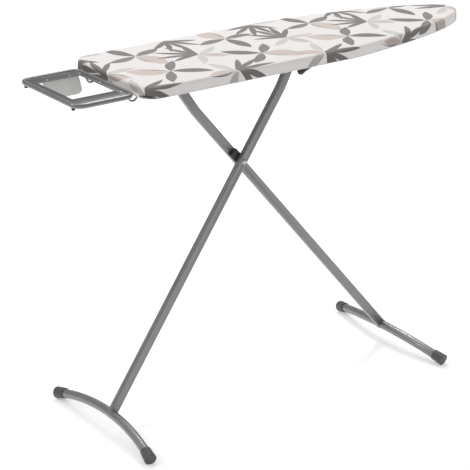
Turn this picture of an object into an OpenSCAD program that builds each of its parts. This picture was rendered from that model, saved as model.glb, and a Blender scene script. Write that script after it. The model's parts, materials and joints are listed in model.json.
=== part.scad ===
// Folding ironing board on crossed legs, shown open at its highest setting.
// +X runs along the board to its nose, the iron rest is at -X, +Z is up.
// The origin is on the floor under the middle of the overall length and width.

/* [Board] */
// Length of the padded board, without the iron rest
board_l = 1100; // [900:10:1300]
// Width of the board at its wide end
board_w = 343; // [280:1:450]
// Height of the ironing surface above the floor
top_h = 945; // [860:5:1010]
// Length of the tapering nose
nose_l = 490; // [350:10:600]
// Fullness of the nose, where more is blunter
nose_full = 1.23; // [1:0.01:2]
// Corner radius at the wide end
corner_r = 40; // [25:1:60]

/* [Cover and panel] */
// Thickness of the fabric cover
cover_t = 2; // [1:0.5:4]
// Width of the hem turned under the rim
hem_w = 16; // [15:1:30]
// Thickness of the felt pad
felt_t = 6; // [3:1:10]
// Thickness of the expanded steel panel
panel_t = 2; // [1.5:0.5:3]
// Width of the rim tube
rim_w = 12; // [8:1:14]
// Height of the rim tube
rim_h = 17.5; // [12:0.5:22]
// Wall of the rim tube
rim_wall = 1; // [0.8:0.1:2]
// Diameter of the drawcord
cord_d = 2; // [2:0.5:4]

/* [Cross ribs] */
// Width of a plain rib
rib_w = 30; // [20:1:40]
// Width of the rib over the rear pivot
pivot_rib_w = 60; // [50:1:80]
// Sheet thickness of the ribs
rib_t = 1.5; // [1:0.1:2.5]

/* [Iron rest] */
// Length of the rest along the board
rest_l = 168; // [130:1:200]
// Width of the rest across the board
rest_w = 275; // [220:1:320]
// Gap between the rest and the cover
rest_gap = 4; // [3.5:0.5:20]
// Height of the ironing surface above the top of the rest
rest_drop = 18; // [10:1:19]
// Diameter of the rest's tube
rest_d = 12; // [10:0.5:14]
// Corner radius of the tube's centre line
rest_corner_r = 24; // [18:1:35]
// Thickness of the tray sheet and the hanging plate
tray_t = 1.2; // [1:0.1:2]
// Width of the tray along the two long sides
tray_side = 44; // [30:1:60]
// Width of the tray next to the board
tray_inner = 15; // [10:1:25]
// Width of the tray at the free end
tray_outer = 12; // [10:1:25]
// Height of the hanging plate
plate_h = 46; // [25:1:60]
// Length of the hanging plate at its top
plate_l = 102; // [60:1:110]
// Wire diameter of the two arms that carry the rest
arm_d = 5.5; // [4:0.5:7]

/* [Legs] */
// Size of a leg tube seen from the side
leg_w = 25; // [20:1:30]
// Size of a leg tube across the board
leg_t = 16; // [12:1:20]
// Wall of the leg tubes
leg_wall = 1.3; // [1:0.1:2]
// Edge radius of the leg tubes
leg_r = 4; // [2:0.5:5]
// Gap between the two legs at the crossing
leg_gap = 10; // [6:1:14]
// Slope of the front leg
front_slope = 55.5; // [50:0.5:60]
// Slope of the rear leg
rear_slope = 50; // [46:0.5:56]
// Depth of the top pivots below the ironing surface
pivot_drop = 38; // [38:1:45]
// Depth of the crossing below the top pivots
cross_drop = 261; // [230:1:280]
// Half the distance between the top pivots
pivot_spread = 180; // [170:1:190]
// Place of the crossing along the board
cross_x = -80; // [-100:1:-60]
// Diameter of the bolt at the crossing
bolt_d = 8; // [6:1:10]
// How far the legs fold from the highest setting
fold_range = 50; // [40:1:50]

/* [Feet] */
// Width over the bare foot bar
foot_w = 436; // [360:2:520]
// Rise of the arched foot bar
foot_rise = 34; // [20:1:50]
// Diameter of the foot bar
foot_d = 24; // [20:1:28]
// Wall of the foot bar
foot_wall = 1.2; // [1:0.1:2]
// Length of a foot cap
cap_l = 34; // [26:1:45]
// How far a cap stands out past the bar's end
cap_over = 10; // [6:1:15]
// Wall of a cap where it grips the bar
cap_wall = 2; // [1.5:0.5:4]
// How much wider the radius of a cap is at its outer end
cap_flare = 2; // [1:0.5:4]

/* [Pivots and slide] */
// Diameter of the slide axle and of the rear pivot rod
axle_d = 10; // [8:0.5:12]
// Outer diameter of the cross tube on top of each leg
top_tube_d = 18; // [15:1:20]
// Length of those cross tubes
top_tube_l = 104; // [80:2:110]
// Diameter of a slide bush
bush_d = 16; // [14:1:17]
// Length of a slide bush
bush_l = 13; // [10:1:16]
// Sheet thickness of the rails and brackets
rail_t = 2; // [1.5:0.5:3]
// Gap above and below a slide bush in its rail
slide_gap = 0.5; // [0.3:0.1:0.8]
// Radial gap of a shaft that turns in a hole
run_gap = 0.05; // [0.02:0.01:0.1]

/* [Release lever] */
// Distance from the lever's pivot to the tip of its grip
lever_l = 67; // [50:1:80]
// Droop of the lever below level
lever_droop = 24; // [15:1:30]
// Diameter of the grip
grip_d = 18; // [14:1:20]
// Length of the grip
grip_l = 44; // [30:1:48]
// Diameter of the lever's pivot rod
lever_rod_d = 7; // [5:0.5:8]

/* [Hidden] */
$fn = 48;

// Overall places along X
overall_l = board_l + rest_gap + rest_l;
rest_x0 = -overall_l / 2;
rest_x1 = rest_x0 + rest_l;
wide_x = rest_x1 + rest_gap;
nose_x = wide_x + board_l;
half_w = board_w / 2;

// Heights of the layers, from the ironing surface down
felt_top = top_h - cover_t;
panel_top = felt_top - felt_t;
rim_top = panel_top - panel_t;
rim_bottom = rim_top - rim_h;
hem_bottom = rim_bottom - cover_t;
rim_inset = cover_t;
bay_inset = rim_inset + rim_w;

// Scissor: both top pivots are equally far from the crossing, so the front one
// keeps its height as the legs fold
pivot_z = top_h - pivot_drop;
cross_z = pivot_z - cross_drop;
rear_pivot_x = cross_x - pivot_spread;
axle_x = cross_x + pivot_spread;
arm_len = norm([pivot_spread, cross_drop]);
open_angle = atan2(cross_drop, pivot_spread);
function axle_at(fold) = rear_pivot_x + 2 * arm_len * cos(open_angle - fold);
axle_end_x = axle_at(fold_range);
leg_y = (leg_gap + leg_t) / 2;

// Foot bar: a circular arc in the plane of the leg
foot_R = (pow(foot_w / 2, 2) + pow(foot_rise, 2)) / (2 * foot_rise);
foot_a = asin(foot_w / 2 / foot_R);
cap_r0 = foot_d / 2 + cap_wall;
cap_r1 = cap_r0 + cap_flare;
cap_grind = 0.8;
// Distance along the leg from the arc's top to the middle of a cap's end face
cap_drop = foot_R * (1 - cos(foot_a)) + cap_over * sin(foot_a);
function foot_z(slope) = cap_r1 * sqrt(1 - pow(sin(foot_a) * sin(slope), 2)) - cap_grind
    + cap_drop * sin(slope);
function foot_reach(slope) = (cross_z - foot_z(slope)) / sin(slope);

// Rails: channels that open towards the middle of the board
rail_top = rim_bottom;
rail_in = bush_d + 2 * slide_gap;
rail_bottom = pivot_z - rail_in / 2 - rail_t;
rail_y0 = top_tube_l / 2 + 6;
rail_y1 = rail_y0 + bush_l + 5;
mid_rib_x = axle_x - 52;
nose_rib_x = axle_end_x + 44;
axle_half = rail_y1 + 10;
setting_step = 6;
settings = 5;

// Pivot bracket plates stand just outside the rear cross tube
bracket_y = top_tube_l / 2 + 5;
bracket_t = 2.5;
bracket_foot = 14;
cap_clip_t = 3.5;
rivet_r = 4;
rivet_h = 1.3;

// Iron rest
rest_z = top_h - rest_drop - rest_d / 2;
rest_mid_x = (rest_x0 + rest_x1) / 2;
tray_top = rest_z + 3.5;
window_y = rest_w / 2 - rest_d - tray_side;
window_x0 = rest_x0 + rest_d + tray_outer;
window_x1 = rest_x1 - rest_d - tray_inner;
plate_x0 = window_x0 + 12;
arm_y = 95;

// Lever, to the right-hand side of the rail
lever_x = mid_rib_x + rib_w / 2 + 17;
lever_z = pivot_z + 7;
grip_y = -rail_y1 - 40;
ear_out = grip_y - 19;
ear_in = grip_y + 19;
ear_t = 2.5;
catch_y = -axle_half + 2;
catch_t = 3;

// Outline of the board, set in by d: two round corners and a tapering nose
nose_start = nose_x - nose_l;
function nose_point(u) = [nose_start + nose_l * pow(pow(cos(u), 2), 1 / nose_full), half_w * sin(u)];
function nose_normal(u) = let (n = [half_w * cos(u),
    2 * nose_l / nose_full * pow(cos(u), 2 / nose_full - 1) * sin(u)]) n / norm(n);
function corner(side, d, a0) = [for (i = [0:6]) let (a = a0 + side * i * 15)
    [wide_x + corner_r + (corner_r - d) * cos(a),
     side * (half_w - corner_r) + (corner_r - d) * sin(a)]];
function outline(d) = concat(
    [for (u = [-88:8:88]) nose_point(u) - d * nose_normal(u)],
    corner(1, d, 90),
    [for (i = [6:-1:0]) corner(-1, d, 270)[i]]);

module slab(d, z0, z1) {
    translate([0, 0, z0]) linear_extrude(z1 - z0) polygon(outline(d));
}

// Cylinder along Y, centred on y
module rod_y(x, y, z, r, l) {
    translate([x, y, z]) rotate([90, 0, 0]) cylinder(r = r, h = l, center = true);
}

module mirrored_y(side) {
    if (side > 0) children(); else mirror([0, 1, 0]) children();
}

// Round wire swept along points that lie in a plane of constant Y
wire_sides = 12;
function unit(v) = v / norm(v);
function heading(p, i) = unit((i > 0 ? unit(p[i] - p[i - 1]) : [0, 0, 0])
    + (i < len(p) - 1 ? unit(p[i + 1] - p[i]) : [0, 0, 0]));
module wire(p, r) {
    n = wire_sides;
    rings = [for (i = [0:len(p) - 1]) let (t = heading(p, i)) for (k = [0:n - 1])
        p[i] + r * [t[2] * cos(360 * k / n), sin(360 * k / n), -t[0] * cos(360 * k / n)]];
    sides = [for (i = [0:len(p) - 2], k = [0:n - 1])
        [i * n + k, i * n + (k + 1) % n, (i + 1) * n + (k + 1) % n, (i + 1) * n + k]];
    polyhedron(rings, concat(sides, [[for (k = [n - 1:-1:0]) k]],
        [[for (k = [0:n - 1]) (len(p) - 1) * n + k]]));
}

// ---- Padded top ----

module cover() {
    color([0.86, 0.83, 0.80]) difference() {
        slab(0, hem_bottom, top_h);
        slab(cover_t, rim_bottom, felt_top);
        slab(hem_w, hem_bottom - 1, rim_bottom + 1);
    }
}

module felt_pad() {
    color([0.9, 0.9, 0.88]) slab(cover_t, panel_top, felt_top);
}

module mesh_panel() {
    color([0.45, 0.45, 0.45]) slab(cover_t, rim_top, panel_top);
}

module rim_frame() {
    color([0.5, 0.5, 0.5]) difference() {
        slab(rim_inset, rim_bottom, rim_top);
        slab(bay_inset, rim_bottom - 1, rim_top + 1);
        difference() {
            slab(rim_inset + rim_wall, rim_bottom + rim_wall, rim_top - rim_wall);
            slab(bay_inset - rim_wall, rim_bottom, rim_top);
        }
    }
}

// Upward channel across the board, cut to fit between the rim's inner faces
module cross_rib(x, w) {
    color([0.5, 0.5, 0.5]) intersection() {
        difference() {
            translate([x - w / 2, -half_w, rim_bottom]) cube([w, board_w, rim_h]);
            translate([x - w / 2 + rib_t, -half_w - 1, rim_bottom + rib_t])
                cube([w - 2 * rib_t, board_w + 2, rim_h]);
        }
        slab(bay_inset, rim_bottom - 1, rim_top + 1);
    }
}

end_rib_x = wide_x + corner_r;
module cross_rib_end() cross_rib(end_rib_x, rib_w);
module cross_rib_pivot() cross_rib(rear_pivot_x, pivot_rib_w);
module cross_rib_mid() cross_rib(mid_rib_x, rib_w);
module cross_rib_nose() cross_rib(nose_rib_x, rib_w);

// The drawcord shows only at the near wide corner, where its ends are tied off.
cord_from = 188;
cord_sweep = 48;
toggle_at = 212;
toggle_l = 8;
module drawcord() {
    color([0.2, 0.2, 0.2]) translate([wide_x + corner_r, -half_w + corner_r, rim_bottom + 4])
        rotate([0, 0, cord_from]) rotate_extrude(angle = cord_sweep)
            translate([corner_r + cord_d / 2, 0]) circle(d = cord_d);
}

module cord_toggle() {
    color([0.15, 0.15, 0.15]) difference() {
        translate([wide_x + corner_r, -half_w + corner_r, rim_bottom + 4])
            rotate([0, 0, toggle_at]) translate([corner_r + cord_d / 2, 0, 0])
                rod_y(0, 0, 0, cord_d * 1.2, toggle_l);
        slab(0, hem_bottom - 5, top_h);
        drawcord();
    }
}

// ---- Slide rails and pivot brackets ----

module slide_rail(side) {
    x0 = mid_rib_x - rib_w / 2;
    x1 = nose_rib_x + rib_w / 2;
    slot_r = axle_d / 2 + 0.3;
    color([0.55, 0.55, 0.55]) mirrored_y(side) difference() {
        translate([x0, rail_y0, rail_bottom])
            cube([x1 - x0, rail_y1 - rail_y0, rail_top - rail_bottom]);
        translate([x0 - 1, rail_y0 - 1, pivot_z - rail_in / 2])
            cube([x1 - x0 + 2, rail_y1 - rail_y0 - rail_t + 1, rail_in]);
        // Slot for the axle's end
        translate([axle_x, rail_y1 - rail_t - 1, pivot_z - slot_r])
            cube([axle_end_x - axle_x, rail_t + 2, 2 * slot_r]);
        for (x = [axle_x, axle_end_x]) rod_y(x, rail_y1, pivot_z, slot_r, 2 * rail_t + 2);
        // Height settings: scallops in the lower flange
        for (i = [0:settings - 1])
            rod_y(axle_at(i * setting_step), rail_y0 + 6, pivot_z, bush_d / 2 + 1.5, 16);
    }
}
module slide_rail_left() slide_rail(1);
module slide_rail_right() slide_rail(-1);

module pivot_bracket(side) {
    color([0.5, 0.5, 0.5]) mirrored_y(side) difference() {
        union() {
            translate([rear_pivot_x - 22, bracket_y, pivot_z])
                cube([44, bracket_t, rim_bottom - pivot_z]);
            translate([rear_pivot_x - 22, bracket_y, rim_bottom - rail_t])
                cube([44, bracket_foot + bracket_t, rail_t]);
            rod_y(rear_pivot_x, bracket_y + bracket_t / 2, pivot_z, rim_bottom - pivot_z, bracket_t);
        }
        rod_y(rear_pivot_x, bracket_y, pivot_z, axle_d / 2, 4 * bracket_t);
    }
}
module pivot_bracket_left() pivot_bracket(1);
module pivot_bracket_right() pivot_bracket(-1);

module rear_pivot_rod() {
    color([0.7, 0.7, 0.7])
        rod_y(rear_pivot_x, 0, pivot_z, axle_d / 2, 2 * (bracket_y + bracket_t + cap_clip_t - 1));
}

// Push-on clip: a domed ring on a shaft's end
module end_clip(x, y, side) {
    mirrored_y(side) difference() {
        rod_y(x, y + cap_clip_t / 2, pivot_z, axle_d / 2 + 2.5, cap_clip_t);
        rod_y(x, y, pivot_z, axle_d / 2, 2 * cap_clip_t - 2);
    }
}

module pivot_rod_caps() {
    color([0.6, 0.6, 0.6]) for (side = [-1, 1])
        end_clip(rear_pivot_x, bracket_y + bracket_t, side);
}

module frame_rivets() {
    rail_mid = (rail_y0 + rail_y1 - rail_t) / 2;
    bracket_mid = bracket_y + bracket_t + bracket_foot / 2;
    places = concat(
        [for (x = [mid_rib_x, nose_rib_x]) [x, rail_mid, pivot_z + rail_in / 2]],
        [for (x = [-14, 14]) [rear_pivot_x + x, bracket_mid, rim_bottom - rail_t]]);
    color([0.7, 0.7, 0.7]) for (side = [-1, 1], p = places)
        translate([p[0], side * p[1], p[2] - rivet_h])
            cylinder(r1 = rivet_r - 1.2, r2 = rivet_r, h = rivet_h);
}

// ---- Iron rest ----

// Closed loop of round tube with rounded corners
module rest_loop(r) {
    sx = (rest_l - rest_d) / 2;
    sy = (rest_w - rest_d) / 2;
    c = rest_corner_r;
    translate([rest_mid_x, 0, rest_z]) {
        for (i = [0:3]) {
            sgn = [[1, 1], [-1, 1], [-1, -1], [1, -1]][i];
            translate([sgn[0] * (sx - c), sgn[1] * (sy - c), 0]) rotate([0, 0, 90 * i])
                rotate_extrude(angle = 90) translate([c, 0]) circle(r = r);
        }
        for (s = [-1, 1]) {
            translate([s * sx, 0, 0]) rotate([90, 0, 0])
                cylinder(r = r, h = 2 * (sy - c), center = true);
            translate([0, s * sy, 0]) rotate([0, 90, 0])
                cylinder(r = r, h = 2 * (sx - c), center = true);
        }
    }
}

module rest_frame() {
    color([0.5, 0.5, 0.5]) rest_loop(rest_d / 2);
}

module rest_tray() {
    color([0.36, 0.36, 0.36]) difference() {
        translate([rest_x0 + rest_d / 2, -(rest_w - rest_d) / 2, tray_top - tray_t])
            linear_extrude(tray_t) {
                translate([rest_corner_r, 0]) square([rest_l - rest_d - 2 * rest_corner_r, rest_w - rest_d]);
                translate([0, rest_corner_r]) square([rest_l - rest_d, rest_w - rest_d - 2 * rest_corner_r]);
                for (x = [rest_corner_r, rest_l - rest_d - rest_corner_r],
                     y = [rest_corner_r, rest_w - rest_d - rest_corner_r])
                    translate([x, y]) circle(r = rest_corner_r);
            }
        translate([window_x0, -window_y, tray_top - 3 * tray_t])
            cube([window_x1 - window_x0, 2 * window_y, 5 * tray_t]);
        rest_loop(rest_d / 2);
    }
}

// Plate hanging from the tray's far inner edge, narrower and rounded at the bottom
module rest_plate() {
    r = 12;
    z_low = tray_top - tray_t - plate_h;
    left = plate_x0 + plate_l * 0.2;
    right = plate_x0 + plate_l * 1.08;
    color([0.7, 0.7, 0.7]) {
        translate([0, window_y + tray_t, 0]) rotate([90, 0, 0]) linear_extrude(tray_t)
            polygon(concat([[plate_x0 + plate_l, tray_top - tray_t], [plate_x0, tray_top - tray_t]],
                [for (a = [200:14:270]) [left + r + r * cos(a), z_low + r + r * sin(a)]],
                [for (a = [270:15:360]) [right - r + r * cos(a), z_low + r + r * sin(a)]]));
        translate([plate_x0, window_y + tray_t, tray_top - 2 * tray_t])
            cube([plate_l, 14, tray_t]);
    }
}

// Wire arm: it leaves the rest's tube, dips in a hook below the gap and runs on
// under the end rib
hook_r = 12;
module rest_arm(side) {
    r = arm_d / 2;
    hook_x = wide_x + 8;
    hook_z = pivot_z + 1;
    low = rim_bottom - r;
    y = side * arm_y;
    seat = 0.43 * r; // the slanted end just meets the tube
    color([0.55, 0.55, 0.55])
        wire(concat([[rest_x1 - rest_d / 2, y, rest_z - rest_d / 2 - seat]],
            [for (a = [180:22.5:360]) [hook_x + hook_r * cos(a), y, hook_z + hook_r * sin(a)]],
            [[end_rib_x - 9, y, low], [end_rib_x + rib_w / 2 - 2, y, low]]), r);
}
module rest_arm_left() rest_arm(1);
module rest_arm_right() rest_arm(-1);

module rest_rivets() {
    mid_x = (window_x1 + rest_x1 - rest_d) / 2;
    places = [[mid_x, arm_y], [mid_x, 0], [mid_x, -arm_y],
              [plate_x0 + 20, window_y + 9], [plate_x0 + plate_l - 20, window_y + 9]];
    color([0.7, 0.7, 0.7]) for (p = places)
        translate([p[0], p[1], tray_top]) cylinder(r1 = 3, r2 = 2, h = 1.2);
}

module rest_buffers() {
    color([0.15, 0.15, 0.15]) for (side = [-1, 1]) difference() {
        translate([rest_x0 + 9, side * (rest_w / 2 - 27), rest_z - rest_d / 2 - 6])
            cylinder(r = 4.5, h = 10);
        rest_loop(rest_d / 2);
    }
}

// ---- Release lever ----

// The back plate stays above the lever's swing
module lever_bracket() {
    back_x = mid_rib_x + rib_w / 2;
    z0 = lever_z - 8;
    z1 = rim_top - 2;
    color([0.5, 0.5, 0.5]) difference() {
        union() {
            translate([back_x, ear_out - ear_t, lever_z + 1])
                cube([ear_t, ear_in - ear_out + 2 * ear_t, z1 - lever_z - 1]);
            for (y = [ear_out - ear_t, ear_in]) translate([back_x, y, z0])
                cube([lever_x - back_x, ear_t, z1 - z0 - 4]);
            for (y = [ear_out - ear_t / 2, ear_in + ear_t / 2]) rod_y(lever_x, y, lever_z, 8, ear_t);
        }
        rod_y(lever_x, grip_y, lever_z, lever_rod_d / 2 + run_gap, 60);
    }
}

module lever_rod() {
    color([0.7, 0.7, 0.7]) translate([0, (catch_y + catch_t / 2 + ear_out - ear_t - 3) / 2, 0])
        rod_y(lever_x, 0, lever_z, lever_rod_d / 2, catch_y + catch_t / 2 - (ear_out - ear_t - 3));
}

// Frame with +X from the lever's pivot to the tip of the grip
module on_lever() {
    translate([lever_x, grip_y, lever_z]) rotate([0, -lever_droop, 0]) mirror([1, 0, 0]) children();
}

module lever_arm() {
    hub_r = lever_rod_d / 2 + 2.5;
    color([0.75, 0.75, 0.75]) difference() {
        on_lever() {
            translate([0, -6, -2.5]) cube([lever_l - grip_l + 30, 12, 5]);
            rod_y(0, 0, 0, hub_r, 12);
        }
        rod_y(lever_x, grip_y, lever_z, lever_rod_d / 2, 14);
    }
}

module lever_grip() {
    r = grip_d / 2;
    color([0.2, 0.2, 0.2]) difference() {
        on_lever() {
            translate([lever_l - grip_l, 0, 0]) rotate([0, 90, 0]) cylinder(r = r, h = grip_l - r);
            translate([lever_l - r, 0, 0]) sphere(r = r);
        }
        lever_arm();
    }
}

// Latch plate: its tooth stands just under the path of the axle's end
module lever_catch() {
    tooth_top = pivot_z - axle_d / 2 - 1;
    color([0.7, 0.7, 0.7]) difference() {
        union() {
            rod_y(lever_x, catch_y, lever_z, lever_rod_d / 2 + 3, catch_t);
            translate([0, catch_y + catch_t / 2, 0]) rotate([90, 0, 0]) linear_extrude(catch_t)
                polygon([[lever_x - 6, lever_z], [lever_x - 2, tooth_top - 9], [axle_x + 17, tooth_top - 9],
                         [axle_x + 17, tooth_top], [axle_x + 8, tooth_top], [axle_x + 5, tooth_top - 4],
                         [axle_x - 4, tooth_top - 4], [lever_x + 6, tooth_top], [lever_x + 5, lever_z - 1]]);
        }
        rod_y(lever_x, catch_y, lever_z, lever_rod_d / 2, 2 * catch_t);
    }
}

module lever_spring() {
    color([0.7, 0.7, 0.7]) difference() {
        rod_y(lever_x, ear_in - 5.5, lever_z, lever_rod_d / 2 + 3, 9);
        rod_y(lever_x, ear_in - 5.5, lever_z, lever_rod_d / 2 + 0.8, 12);
    }
}

// ---- Legs ----

module leg_section(w, t, r) {
    square([w - 2 * r, t], center = true);
    square([w, t - 2 * r], center = true);
    for (x = [-1, 1], y = [-1, 1]) translate([x * (w / 2 - r), y * (t / 2 - r)]) circle(r = r);
}

// Bar along +X that then turns left by bend and runs on; its section is in YZ
module bent_bar(l1, bend, radius, l2) {
    rotate([90, 0, 90]) linear_extrude(l1) children();
    translate([l1, radius, 0]) rotate([0, 0, -90]) rotate_extrude(angle = bend)
        translate([radius, 0]) children();
    translate([l1, radius, 0]) rotate([0, 0, bend]) translate([0, -radius, 0])
        rotate([90, 0, 90]) linear_extrude(l2) children();
}

leg_bend_r = 120;
// Frame with its +X up the leg from the crossing, in the leg's own plane
module on_leg(slope, y) {
    translate([cross_x, y, cross_z]) rotate([0, -slope, 0]) rotate([90, 0, 0]) children();
}

module leg_tube(slope, y, reach, l1, bend, l2, flip) {
    on_leg(slope, y) rotate([180 * flip, 0, 0]) translate([-reach, 0, 0])
        bent_bar(reach + l1, bend, leg_bend_r, l2) difference() {
            leg_section(leg_w, leg_t, leg_r);
            leg_section(leg_w - 2 * leg_wall, leg_t - 2 * leg_wall, leg_r - leg_wall);
        }
}

// Arched bar whose top is at the foot of a leg; +X is up the leg
module foot_arc(slope, r, a) {
    on_leg(slope, 0) translate([-foot_reach(slope) - foot_R, 0, 0])
        rotate([90, 0, 0]) rotate([0, 0, -a]) rotate_extrude(angle = 2 * a)
            translate([foot_R, 0]) circle(r = r);
}

module foot_bar(slope) {
    color([0.5, 0.5, 0.5]) difference() {
        foot_arc(slope, foot_d / 2, foot_a);
        foot_arc(slope, foot_d / 2 - foot_wall, foot_a + 1);
    }
}

module foot_cap(slope, side) {
    color([0.25, 0.25, 0.25]) difference() {
        on_leg(slope, 0) translate([-foot_reach(slope) - foot_R, 0, 0])
            rotate([90, 0, 0]) rotate([0, 0, side * foot_a]) translate([foot_R, 0, 0])
                rotate([-90 * side, 0, 0]) translate([0, 0, cap_over - cap_l])
                    cylinder(r1 = cap_r0, r2 = cap_r1, h = cap_l);
        foot_arc(slope, foot_d / 2, foot_a);
        translate([-overall_l, -overall_l, -100]) cube([2 * overall_l, 2 * overall_l, 100]);
    }
}

front_l1 = 205;
front_bend = 6.5;
front_l2 = 78;
rear_l1 = 190;
rear_bend = 5.4;
rear_l2 = 110;

module front_leg_tube() {
    color([0.5, 0.5, 0.5]) difference() {
        leg_tube(front_slope, -leg_y, foot_reach(front_slope), front_l1, front_bend, front_l2 + 12, 0);
        foot_arc(front_slope, foot_d / 2, 5);
        rod_y(axle_x, 0, pivot_z, top_tube_d / 2, 2 * top_tube_l);
        rod_y(cross_x, 0, cross_z, bolt_d / 2 + run_gap, 100);
    }
}

module rear_leg_tube() {
    color([0.5, 0.5, 0.5]) difference() {
        leg_tube(180 - rear_slope, leg_y, foot_reach(rear_slope), rear_l1, rear_bend, rear_l2, 1);
        foot_arc(180 - rear_slope, foot_d / 2, 5);
        rod_y(rear_pivot_x, 0, pivot_z, top_tube_d / 2, 2 * top_tube_l);
        rod_y(cross_x, 0, cross_z, bolt_d / 2, 100);
    }
}

module top_tube(x, bore_r) {
    color([0.5, 0.5, 0.5]) difference() {
        rod_y(x, 0, pivot_z, top_tube_d / 2, top_tube_l);
        rod_y(x, 0, pivot_z, bore_r, top_tube_l + 2);
    }
}
module rear_top_tube() top_tube(rear_pivot_x, axle_d / 2 + run_gap);
module front_top_tube() top_tube(axle_x, axle_d / 2);

module slide_axle() {
    color([0.7, 0.7, 0.7]) rod_y(axle_x, 0, pivot_z, axle_d / 2, 2 * axle_half);
}

module slide_bush(side) {
    y = rail_y0 + 2 + bush_l / 2;
    color([0.15, 0.15, 0.15]) difference() {
        rod_y(axle_x, side * y, pivot_z, bush_d / 2, bush_l);
        rod_y(axle_x, side * y, pivot_z, axle_d / 2, bush_l + 2);
    }
}
module slide_bush_left() slide_bush(1);
module slide_bush_right() slide_bush(-1);

module axle_caps() {
    w = 3;
    color([0.6, 0.6, 0.6]) for (side = [-1, 1]) difference() {
        rod_y(axle_x, side * (rail_y1 + 0.6 + w / 2), pivot_z, axle_d / 2 + 3, w);
        rod_y(axle_x, side * rail_y1, pivot_z, axle_d / 2, 4 * w);
    }
}

module front_foot_bar() foot_bar(front_slope);
module front_foot_cap_left() foot_cap(front_slope, -1);
module front_foot_cap_right() foot_cap(front_slope, 1);
module rear_foot_bar() foot_bar(180 - rear_slope);
module rear_foot_cap_left() foot_cap(180 - rear_slope, -1);
module rear_foot_cap_right() foot_cap(180 - rear_slope, 1);

// Block between the legs, fixed to the rear leg
spacer_play = 0.3;
module pivot_spacer() {
    t = leg_gap - spacer_play;
    color([0.12, 0.12, 0.12]) difference() {
        on_leg(180 - rear_slope, leg_gap / 2 - t / 2) {
            translate([-13, -leg_w / 2, -t / 2]) cube([46, leg_w, t]);
        }
        rod_y(cross_x, 0, cross_z, bolt_d / 2, 100);
    }
}

bolt_head_h = 4;
module pivot_bolt() {
    y_head = -leg_gap / 2 - leg_t - spacer_play;
    y_tip = leg_gap / 2 + leg_t + 6;
    color([0.75, 0.75, 0.75]) {
        rod_y(cross_x, (y_head + y_tip) / 2, cross_z, bolt_d / 2, y_tip - y_head);
        translate([cross_x, y_head, cross_z]) rotate([90, 0, 0])
            cylinder(r1 = bolt_d - 1, r2 = bolt_d / 2 + 1, h = bolt_head_h);
    }
}

module pivot_nut() {
    y0 = leg_gap / 2 + leg_t;
    color([0.7, 0.7, 0.7]) difference() {
        translate([cross_x, y0, cross_z]) rotate([-90, 0, 0]) union() {
            cylinder(r = bolt_d - 0.5, h = 1.5);
            cylinder(r = bolt_d * 0.87, h = 8, $fn = 6);
        }
        rod_y(cross_x, 0, cross_z, bolt_d / 2, 2 * (y0 + 6));
    }
}

cover();
felt_pad();
mesh_panel();
rim_frame();
cross_rib_end();
cross_rib_pivot();
cross_rib_mid();
cross_rib_nose();
slide_rail_left();
slide_rail_right();
pivot_bracket_left();
pivot_bracket_right();
rear_pivot_rod();
pivot_rod_caps();
frame_rivets();
drawcord();
cord_toggle();
rest_frame();
rest_tray();
rest_plate();
rest_arm_left();
rest_arm_right();
rest_rivets();
rest_buffers();
lever_bracket();
lever_rod();
lever_arm();
lever_grip();
lever_catch();
lever_spring();
rear_leg_tube();
rear_top_tube();
rear_foot_bar();
rear_foot_cap_left();
rear_foot_cap_right();
pivot_spacer();
pivot_bolt();
pivot_nut();
front_leg_tube();
front_top_tube();
slide_axle();
slide_bush_left();
slide_bush_right();
axle_caps();
front_foot_bar();
front_foot_cap_left();
front_foot_cap_right();
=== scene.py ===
"""Cover, mesh, painted tubes and fittings of a folding ironing board, built round its frame."""

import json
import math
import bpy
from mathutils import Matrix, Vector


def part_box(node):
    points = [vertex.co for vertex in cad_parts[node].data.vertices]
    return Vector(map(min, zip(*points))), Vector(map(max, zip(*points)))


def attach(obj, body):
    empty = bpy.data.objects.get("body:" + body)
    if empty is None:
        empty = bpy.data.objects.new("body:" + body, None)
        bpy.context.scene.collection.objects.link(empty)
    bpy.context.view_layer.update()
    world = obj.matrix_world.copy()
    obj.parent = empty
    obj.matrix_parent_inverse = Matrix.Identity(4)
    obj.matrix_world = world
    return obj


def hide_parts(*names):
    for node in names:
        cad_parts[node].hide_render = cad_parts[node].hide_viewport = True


bl_info = {
    "name": "Ironing board looks",
    "version": (1, 0, 0),
    "blender": (4, 5, 0),
    "location": "View3D > Sidebar > Ironing board",
    "description": "Adds the cover, pad, mesh, tubes, iron rest, lever and feet of a folding ironing board",
    "category": "Object",
}

import bmesh
import bpy
from bpy.props import FloatProperty, FloatVectorProperty, IntProperty, PointerProperty
from mathutils import Matrix, Vector, noise

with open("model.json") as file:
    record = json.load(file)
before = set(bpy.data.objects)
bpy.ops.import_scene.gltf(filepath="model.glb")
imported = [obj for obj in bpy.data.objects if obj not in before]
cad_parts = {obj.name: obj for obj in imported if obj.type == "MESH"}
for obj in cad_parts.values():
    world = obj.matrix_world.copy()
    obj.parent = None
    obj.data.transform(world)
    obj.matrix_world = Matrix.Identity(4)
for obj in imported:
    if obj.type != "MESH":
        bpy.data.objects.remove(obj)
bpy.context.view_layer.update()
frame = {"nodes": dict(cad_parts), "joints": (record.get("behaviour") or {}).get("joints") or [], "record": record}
NODES = frame["nodes"]
SLOTS = {part["node"]: part["material_slot"] for part in frame["record"]["subparts"]}
BODIES = {node: body for body, nodes in frame["record"]["behaviour"]["bodies"].items() for node in nodes}
JOINTS = {joint["name"]: Vector(joint["pos_m"]) for joint in frame["joints"]}
MM = 0.001

# Places that the frame gives
COVER_LO, COVER_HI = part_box("cover")
FELT_LO, FELT_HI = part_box("felt_pad")
MESH_LO, MESH_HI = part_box("mesh_panel")
TRAY_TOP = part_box("rest_tray")[1].z
REST_LO, REST_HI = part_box("rest_frame")
LEVER = JOINTS["lever_squeeze"]
CROSSING = JOINTS["leg_cross"]


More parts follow.
